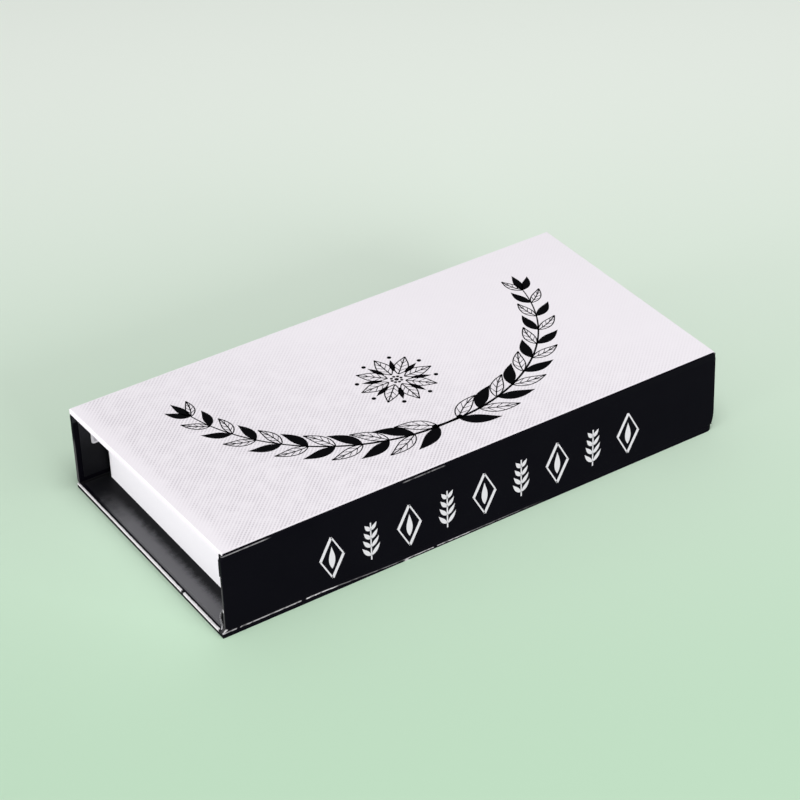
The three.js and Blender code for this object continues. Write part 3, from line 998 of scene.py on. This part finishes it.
def add_cover(paper):
    """The white cover paper: over the lid's top, round its two ends and turned in under them."""
    low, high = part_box("lid_cover_paper")
    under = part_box("lid_wrap")[0].z
    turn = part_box("lid_lining")[0].x - PAPER
    radius = COVER_CORNER
    end = [(turn, low.z)]
    end += arc((low.x + radius, low.z + radius), radius, 270, 180, CORNER_STEPS)
    end += arc((low.x + radius, high.z - radius), radius, 180, 90, CORNER_STEPS)
    profile = end + [(-x, z) for x, z in reversed(end)]
    rows = [[(x, y, z) for x, z in profile] for y in (low.y, high.y)]
    bm = outward(sheet(rows))
    top = max(bm.faces, key=lambda face: face.calc_area())
    if top.normal.z < 0:
        bmesh.ops.reverse_faces(bm, faces=bm.faces)
    thicken(bm, min(PAPER, under - low.z))
    draw_lid(add("lid_cover_sheet", bm, paper, "lid", ["lid_cover_paper"]))


# Tray and insert

def add_tray(paper):
    """The tray's white paper, in one sweep round the walls: outside, rim, and turned down inside."""
    low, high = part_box("tray_paper")
    wall = -low.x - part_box("foam_base")[1].x - WELL_GAP
    rim = TRAY_RIM
    hem = high.z - TRAY_TURN_DOWN

    def ring(inset, z):
        radius = max(TRAY_CORNER - inset, SLIVER)
        flat = rounded((low.x + inset, low.y + inset), (high.x - inset, high.y - inset), radius)
        return [(x, y, z) for x, y in flat]

    profile = [(0.0, low.z)]
    profile += arc((rim, high.z - rim), rim, 180, 90, CORNER_STEPS)
    profile += arc((wall - rim, high.z - rim), rim, 90, 0, CORNER_STEPS)
    profile += [(wall, hem), (wall - PAPER, hem), (wall - PAPER, high.z - PAPER), (PAPER, high.z - PAPER)]
    profile += [(PAPER, low.z), (0.0, low.z)]
    bm = sheet([ring(inset, z) for inset, z in profile], closed=True)
    bmesh.ops.remove_doubles(bm, verts=bm.verts, dist=MERGE)
    add("tray_covering", outward(bm), paper, "base", ["tray_paper"])


def pan_nodes():
    pans = [name for name in frame["nodes"] if name.startswith("pan_")]
    return sorted(pans, key=lambda name: int(name.split("_")[1]))


def add_foam_base(material):
    low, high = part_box("foam_base")
    block = soften(prism(outline(low.xy, high.xy), (X, Y, Z), low.z, high.z), FOAM_EDGE)
    add("foam_block", block, material, "base", ["foam_base"])


def cell_angles(half_x, half_y):
    """Even angles round a cell's centre, with the nearest ones turned to its four corners."""
    corner = math.atan2(half_y, half_x)
    angles = [2 * math.pi * (step + 0.5) / PAN_STEPS for step in range(PAN_STEPS)]
    for turn in (corner, math.pi - corner, math.pi + corner, 2 * math.pi - corner):
        nearest = min(range(PAN_STEPS), key=lambda step: abs(angles[step] - turn))
        angles[nearest] = turn
    return angles


def add_deck(material):
    """The foam deck: one oblong cell round each well, with the well's rim rounded over."""
    low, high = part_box("foam_deck")
    boxes = [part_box(name) for name in pan_nodes()]
    xs = sorted({round((a.x + b.x) / 2, 6) for a, b in boxes})
    ys = sorted({round((a.y + b.y) / 2, 6) for a, b in boxes})
    half_x = (high.x - low.x) / len(xs) / 2
    half_y = (high.y - low.y) / len(ys) / 2
    well = (boxes[0][1].x - boxes[0][0].x) / 2 + WELL_GAP
    rim = arc((0, high.z - WELL_ROUND), WELL_ROUND, 0, 90, CORNER_STEPS)
    levels = [(well, low.z)] + [(well + WELL_ROUND - r, z) for r, z in rim]
    levels += [(None, high.z), (None, low.z), (well, low.z)]
    ways = [(math.cos(angle), math.sin(angle)) for angle in cell_angles(half_x, half_y)]
    edge = [(way, min(half_x / abs(way[0]), half_y / abs(way[1]))) for way in ways]

    def on_border(quad):
        """Whether a side face lies on the outside of the whole deck."""
        return any(
            all(abs(vertex.co[axis] - limit) < SLIVER for vertex in quad)
            for axis in (X, Y) for limit in (low[axis], high[axis])
        )

    bm = bmesh.new()
    for cx, cy in [(x, y) for x in xs for y in ys]:
        rings = []
        for radius, z in levels:
            places = [(way, reach if radius is None else radius) for way, reach in edge]
            rings.append([bm.verts.new((cx + way[0] * at, cy + way[1] * at, z)) for way, at in places])
        for first, second in zip(rings, rings[1:]):
            bridge(bm, first, second, keep=on_border if first is rings[-3] else None)
    bmesh.ops.remove_doubles(bm, verts=bm.verts, dist=MERGE)
    deck = add("foam_deck_plate", outward(bm), material, "base", ["foam_deck"])


def add_pans(tin):
    slots = {row["node"]: row["material_slot"] for row in frame["record"]["subparts"]}
    for name in pan_nodes():
        number = name.split("_")[1]
        add_pan(number, tin)
        add_powder(number, slots[f"powder_{number}"])


def add_pan(number, tin):
    low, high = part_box(f"pan_{number}")
    centre = (low + high) / 2
    radius = (high.x - low.x) / 2
    height = high.z - low.z
    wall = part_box(f"powder_{number}")[0].z - low.z
    foot = 1.5 * wall
    profile = [(0, 0)]
    profile += arc((radius - foot, foot), foot, 270, 360, CORNER_STEPS)
    profile += arc((radius - wall / 2, height - wall / 2), wall / 2, 0, 180, CORNER_STEPS)
    profile += [(radius - wall, wall), (0, wall)]
    bm = turned(profile, PAN_STEPS)
    bmesh.ops.translate(bm, vec=Vector((centre.x, centre.y, low.z)), verts=bm.verts)
    add(f"pan_cup_{number}", bm, tin, "base", [f"pan_{number}"])


def add_powder(number, slot):
    """A pressed cake whose top carries a sunburst of shallow flutes."""
    low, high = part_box(f"powder_{number}")
    centre = (low + high) / 2
    radius = (high.x - low.x) / 2
    steps = 4 * POWDER_FLUTES
    rings = [[(centre.x, centre.y, high.z - 0.5 * POWDER_RELIEF)]]
    for ring in range(1, POWDER_RINGS + 1):
        share = ring / POWDER_RINGS
        swell = math.sin(math.pi * min(1, 1.08 * share)) ** 2
        sag = (high.z - low.z) * POWDER_SAG * share ** 6
        row = []
        for angle in circle(steps):
            flute = math.cos(POWDER_FLUTES * angle + POWDER_TWIST * share) * swell
            z = high.z - POWDER_RELIEF * (0.5 - 0.5 * flute) - sag
            at = radius * share
            row.append((centre.x + at * math.cos(angle), centre.y + at * math.sin(angle), z))
        rings.append(row)
    rings.append([(x, y, low.z) for x, y, _ in rings[-1]])
    bm = sheet(rings, closed=True)
    bm.verts.ensure_lookup_table()
    bm.faces.new(bm.verts[-steps:])
    material = powder(slot, *POWDERS[slot])
    add(f"powder_cake_{number}", outward(bm), material, "base", [f"powder_{number}"])


def add_applicator(plastic, foam_tip):
    low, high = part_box("applicator_handle")
    centre = (low + high) / 2
    grip = (high.z - low.z) / 2
    end = (high.x - low.x) / 2
    along = Matrix.Rotation(math.pi / 2, 4, "Y")
    neck = 0.28 * (high.z - low.z)
    stations = (
        (0, 0), (neck, 0), (neck, 0.04), (1.25 * neck, 0.06), (1.3 * neck, 0.09), (0.86 * grip, 0.17),
        (0.97 * grip, 0.2), (grip, 0.23), (grip, 0.3), (0.94 * grip, 0.31), (0.94 * grip, 0.33), (grip, 0.34),
    )
    half_profile = [(radius, (share - 1) * end) for radius, share in stations]
    profile = half_profile + [(radius, -at) for radius, at in reversed(half_profile)]
    bm = turned(profile, APPLICATOR_STEPS)
    bm.transform(Matrix.Translation(centre) @ along)
    add("applicator_stem", bm, plastic, "base", ["applicator_handle"])
    for side, word in ((-1, "left"), (1, "right")):
        node = f"applicator_tip_{word}"
        tip_low, tip_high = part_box(node)
        length = tip_high.x - tip_low.x
        middle = (tip_low + tip_high) / 2
        width = (tip_high.y - tip_low.y) / 2
        flat = (tip_high.z - tip_low.z) / (tip_high.y - tip_low.y)
        steps = 2 * CORNER_STEPS
        profile = [(0, 0)]
        for step in range(steps + 1):
            share = step / steps
            swell = math.sin(math.pi * share ** 0.72) ** 0.62 if 0 < share < 1 else 0.0
            profile.append((max(width * swell, 0.9 * neck * (1 - share)), length * share))
        profile[-1] = (0, length)
        bm = turned(profile, APPLICATOR_STEPS)
        bm.transform(Matrix.Scale(flat, 4, (1, 0, 0)))
        root = Vector((tip_low.x if side > 0 else tip_high.x, middle.y, middle.z))
        turn = Matrix.Rotation(side * math.pi / 2, 4, "Y")
        bm.transform(Matrix.Translation(root) @ turn)
        add(f"sponge_tip_{word}", bm, foam_tip, "base", [node])


def add_plates(steel):
    for word in ("left", "right"):
        low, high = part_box(f"catch_plate_{word}")
        flat = rounded((low.x, low.z), (high.x, high.z), PLATE_CORNER)
        block = soften(prism(flat, (X, Z, Y), low.y, high.y), PLATE_EDGE, 2)
        add(f"steel_plate_{word}", block, steel, "flap", [f"catch_plate_{word}"])


def add_mirror(glass):
    low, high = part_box("lid_mirror")
    flat = rounded((low.x, low.y), (high.x, high.y), MIRROR_CORNER)
    block = soften(prism(flat, (X, Y, Z), low.z, high.z), MIRROR_EDGE, 2)
    add("mirror_plate", block, glass, "lid", ["lid_mirror"])


# Prints

class Pen:
    """Draws flat strokes of ink on a plane; map_point takes millimetres on the plane to a place."""

    def __init__(self, map_point):
        self.bm = bmesh.new()
        self.map_point = map_point

    def stroke(self, points, widths):
        """A ribbon along points, with its width at each."""
        sides = []
        for index, point in enumerate(points):
            reach = across(points, index) * max(widths[index], 0.04) / 2
            sides.append([self.bm.verts.new(self.map_point(*(Vector(point) + s * reach))) for s in (1, -1)])
        for first, second in zip(sides, sides[1:]):
            self.bm.faces.new((first[0], first[1], second[1], second[0]))

    def leaf(self, foot, angle, length, width, bend=0.0, line=None):
        """A tapered leaf, curving by bend radians towards its tip: solid, or drawn in line with its veins."""
        rib = midrib(foot, angle, length, bend)
        last = len(rib) - 1
        widths = [width * math.sin(math.pi * (index / last) ** 0.8) ** 1.1 for index in range(last + 1)]
        if line is None:
            self.stroke(rib, widths)
            return
        self.stroke(rib, [line] * (last + 1))
        for side in (1, -1):
            reaches = [across(rib, index) * side * widths[index] / 2 for index in range(last + 1)]
            margin = [point + reach for point, reach in zip(rib, reaches)]
            self.stroke(margin, [line] * (last + 1))
            for index in range(2, last - 2, 2):
                self.stroke([rib[index], margin[index + 2]], [0.7 * line, 0.4 * line])

    def dot(self, centre, radius, sides=12):
        ring = [(centre[0] + radius * math.cos(a), centre[1] + radius * math.sin(a)) for a in circle(sides)]
        self.bm.faces.new([self.bm.verts.new(self.map_point(*point)) for point in ring])

    def lozenge(self, centre, half_width, half_height, line):
        """A lozenge outline, heavier on two of its sides, as a broad nib draws it."""
        x, y = centre
        corners = [(x, y + half_height), (x + half_width, y), (x, y - half_height), (x - half_width, y)]
        for index, (first, last) in enumerate(zip(corners, corners[1:] + corners[:1])):
            weight = line if index % 2 else 0.45 * line
            self.stroke([first, last], [weight, weight])

    def add(self, name, material, body):
        add(name, thicken(outward(self.bm), INK), material, body)


def across(points, index):
    """The unit normal of a line of points at one of them."""
    before = Vector(points[max(index - 1, 0)])
    after = Vector(points[min(index + 1, len(points) - 1)])
    way = (after - before).normalized()
    return Vector((-way.y, way.x))


def midrib(foot, angle, length, bend, steps=10):
    """Points along a leaf, from its foot to its tip."""
    points = [Vector(foot)]
    for step in range(steps):
        heading = angle + bend * step / steps
        points.append(points[-1] + Vector((math.cos(heading), math.sin(heading))) * (length / steps))
    return points


def draw_branch(pen, hand):
    """Half of a laurel: a stem that bends upwards, leaves by turns solid and in line, a berry at its foot."""
    steps = LAUREL_PAIRS * LAUREL_PACE
    route = midrib(LAUREL_FOOT, math.radians(LAUREL_HEADING), LAUREL_LENGTH, math.radians(LAUREL_BEND), steps)
    stem = [Vector((hand * point.x, point.y)) for point in route]
    pen.stroke(stem, [1.1 - 0.7 * index / steps for index in range(steps + 1)])
    pen.dot(stem[0], 1.2)
    for pair in range(LAUREL_PAIRS):
        share = pair / LAUREL_PAIRS
        at = (pair + 1) * LAUREL_PACE
        normal = across(stem, at)
        heading = math.atan2(-normal.x, normal.y)
        length = LAUREL_LEAF * (1 - 0.4 * share)
        for side in (1, -1):
            line = FINE_LINE if (pair + (side * hand > 0)) % 2 else None
            pen.leaf(stem[at], heading + side * LEAF_SPREAD, length, 0.33 * length, -side * LEAF_CURL, line)
    pen.leaf(stem[-1], heading, 0.7 * LAUREL_LEAF, 0.2 * LAUREL_LEAF)


def add_lid_print(ink):
    """A laurel of two branches under a small flower, in black."""
    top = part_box("lid_cover_paper")[1].z
    pen = Pen(lambda u, v: Vector((u * MM, v * MM, top + INK)))
    draw_branch(pen, 1)
    draw_branch(pen, -1)
    for angle in circle(PETALS):
        way = Vector((math.cos(angle), math.sin(angle)))
        pen.leaf(way * 3.2, angle, PETAL_LENGTH, 0.45 * PETAL_LENGTH, 0.0, FINE_LINE)
        turn = angle + math.pi / PETALS
        between = Vector((math.cos(turn), math.sin(turn)))
        pen.leaf(between * 5.0, turn, 0.65 * PETAL_LENGTH, 0.18 * PETAL_LENGTH)
        pen.dot(between * 1.25 * PETAL_LENGTH, 0.8)
        pen.dot(way * 1.8, 0.55)
    pen.dot((0, 0), 0.8)
    pen.add("lid_print", ink, "lid")


def add_spine_print(ink):
    """A row of lozenges and leaf sprigs, in silver."""
    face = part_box("spine_wrap")[0].y
    pen = Pen(lambda u, v: Vector((u * MM, face - INK, v * MM)))
    foot = BAND_MIDDLE - SPRIG_HALF
    for index in range(BAND_COUNT):
        x = (index - (BAND_COUNT - 1) / 2) * BAND_PITCH + BAND_SHIFT
        if index % 2:
            pen.stroke([(x, foot), (x, BAND_MIDDLE + SPRIG_HALF)], [0.5, 0.5])
            for level in range(SPRIG_LEVELS):
                z = foot + SPRIG_START + SPRIG_STEP * level
                for side in (1, -1):
                    pen.leaf((x, z), math.pi / 2 - side * 0.85, SPRIG_LEAF - 0.6 * level, 1.5, side * 0.35)
        else:
            pen.lozenge((x, BAND_MIDDLE), *LOZENGE_HALF, LOZENGE_LINE)
            pen.leaf((x, BAND_MIDDLE - LOZENGE_LEAF / 2), math.pi / 2, LOZENGE_LEAF, 2.4)
    pen.add("spine_print", ink, "spine")


# Stage

def seen_rays(tree):
    """1 for rays that show the background, straight or in a reflection; 0 for rays that only carry light."""
    rays = tree.nodes.new("ShaderNodeLightPath").outputs
    kinds = ("Is Camera Ray", "Is Glossy Ray", "Is Transmission Ray")
    return most_of(Term(tree, rays[kind]) for kind in kinds)


def floor_paper():
    """Pale green where it is seen, paler away from the camera, neutral in the light that it sends back."""
    shader = Shader("floor", place="object", roughness=0.9, gloss=0.0)
    x, y, _ = shader.place()
    away = x * -math.sin(math.radians(AZIMUTH)) + y * math.cos(math.radians(AZIMUTH))
    green = shader.mix(away.rise(*FLOOR_BLEND), FLOOR_NEAR, FLOOR_FAR)
    shader.set("colour", shader.mix(seen_rays(shader.tree), FLOOR_NEUTRAL, green))
    return shader.material


def add_stage():
    bm = bmesh.new()
    bmesh.ops.create_grid(bm, x_segments=1, y_segments=1, size=FLOOR_REACH)
    floor = link("floor", bm)
    floor.location.z = -SLIVER
    floor.data.materials.append(floor_paper())

    world = bpy.data.worlds.new("studio")
    bpy.context.scene.world = world
    world.use_nodes = True
    tree = world.node_tree
    lights = ((WORLD_LIGHT, WORLD_STRENGTH), (FLOOR_FAR, 1.0))
    mixed = {0: seen_rays(tree)}
    for index, (colour, strength) in enumerate(lights, 1):
        inputs = {"Color": (*colour, 1.0), "Strength": strength}
        mixed[index] = new_term(tree, "ShaderNodeBackground", inputs)
    surface = tree.nodes["World Output"].inputs["Surface"]
    plug(tree, new_term(tree, "ShaderNodeMixShader", mixed), surface)


def add_light(name, place, target, size, power):
    data = bpy.data.lights.new(name, "AREA")
    data.shape = "RECTANGLE"
    data.size, data.size_y = size
    data.energy = power
    obj = bpy.data.objects.new(name, data)
    obj.location = place
    obj.rotation_mode = "QUATERNION"
    obj.rotation_quaternion = (Vector(target) - Vector(place)).to_track_quat("-Z", "Y")
    bpy.context.scene.collection.objects.link(obj)


def add_camera():
    azimuth, elevation, roll = (math.radians(angle) for angle in (AZIMUTH, ELEVATION, ROLL))
    level = math.cos(elevation)
    back = Vector((math.sin(azimuth) * level, -math.cos(azimuth) * level, math.sin(elevation)))
    flat_right = Vector((0, 0, 1)).cross(back).normalized()
    flat_up = back.cross(flat_right)
    right = flat_right * math.cos(roll) - flat_up * math.sin(roll)
    up = flat_right * math.sin(roll) + flat_up * math.cos(roll)
    data = bpy.data.cameras.new("camera")
    data.lens = LENS
    data.sensor_width = SENSOR
    obj = bpy.data.objects.new("camera", data)
    turn = Matrix((right, up, back)).transposed().to_4x4()
    place = Vector((0, 0, CENTRE_HEIGHT)) + back * CAMERA_DISTANCE - right * CENTRE_RIGHT + up * CENTRE_DOWN
    obj.matrix_world = Matrix.Translation(place) @ turn
    bpy.context.scene.collection.objects.link(obj)
    bpy.context.scene.camera = obj


def dress_nodes(board, metal):
    """Finishes for the frame's own nodes that stay in view or inside."""
    for name, node in frame["nodes"].items():
        if name.endswith(("_board", "_wall", "_floor")):
            material = board
        elif name.startswith("magnet"):
            material = metal
        else:
            continue
        node.data.materials.clear()
        node.data.materials.append(material)


add_camera()
board = grey_board()
dress_nodes(board, nickel())
add_case(black_paper(), board)
add_cover(cover_paper())
add_tray(tray_paper())
black_foam = foam()
add_foam_base(black_foam)
add_deck(black_foam)
add_pans(tin_plate())
add_applicator(black_plastic(), sponge())
add_plates(zinc_steel())
add_mirror(mirror_glass())
add_lid_print(black_ink())
add_spine_print(silver_ink())
add_stage()
for lamp in LAMPS:
    add_light(*lamp)

bpy.context.scene.view_settings.view_transform = "Standard"
